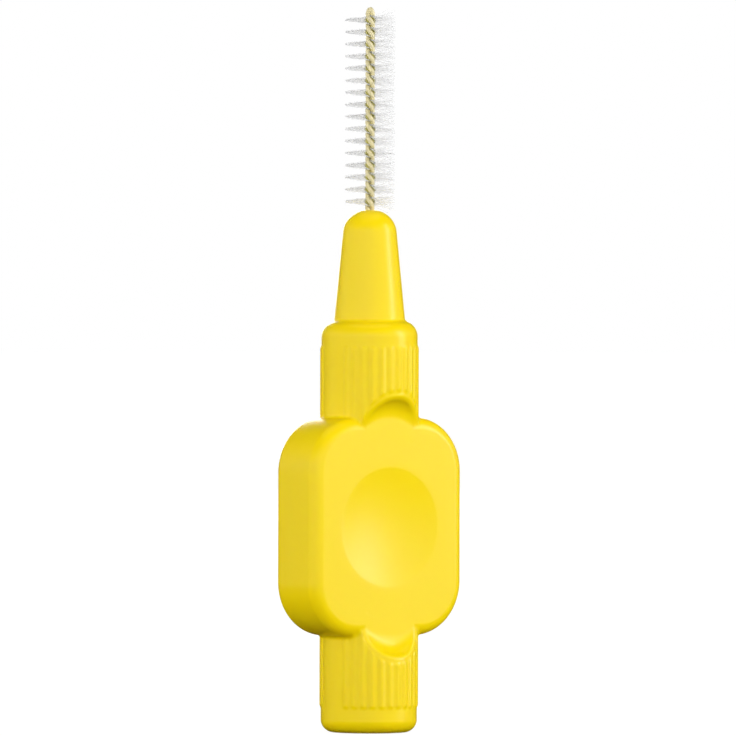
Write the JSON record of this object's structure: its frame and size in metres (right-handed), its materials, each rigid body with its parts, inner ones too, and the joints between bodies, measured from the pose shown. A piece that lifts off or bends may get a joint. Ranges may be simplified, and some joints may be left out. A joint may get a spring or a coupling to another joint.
{
  "type": "interdental brush",
  "caption": "Hand-held interdental brush: round ribbed handle with a flat rounded grip plate, a tapered neck and a twisted wire that grips fine filaments for cleaning between teeth.",
  "frame": {"origin": "centre of the flat foot of the handle, on the barrel's axis", "axes": "+Z along the barrel to the tip of the brush, +X across the grip plate, -Y out of the plate's face that the picture shows"},
  "size_m": [0.0132, 0.0068, 0.0502],
  "materials": {
    "handle_plastic": "yellow moulded plastic with a soft gloss",
    "wire_coating": "yellow plastic coating on thin steel wire",
    "filament_nylon": "white, slightly see-through nylon"
  },
  "bodies": {
    "root": {"handle": "handle_plastic", "twisted_wire": "wire_coating", "bristle_turn_01": "filament_nylon", "bristle_turn_02": "filament_nylon", "bristle_turn_03": "filament_nylon", "bristle_turn_04": "filament_nylon", "bristle_turn_05": "filament_nylon", "bristle_turn_06": "filament_nylon", "bristle_turn_07": "filament_nylon", "bristle_turn_08": "filament_nylon", "bristle_turn_09": "filament_nylon", "bristle_turn_10": "filament_nylon", "bristle_turn_11": "filament_nylon", "bristle_turn_12": "filament_nylon", "bristle_turn_13": "filament_nylon", "bristle_turn_14": "filament_nylon", "bristle_turn_15": "filament_nylon", "bristle_turn_16": "filament_nylon"}
  },
  "joints": []
}
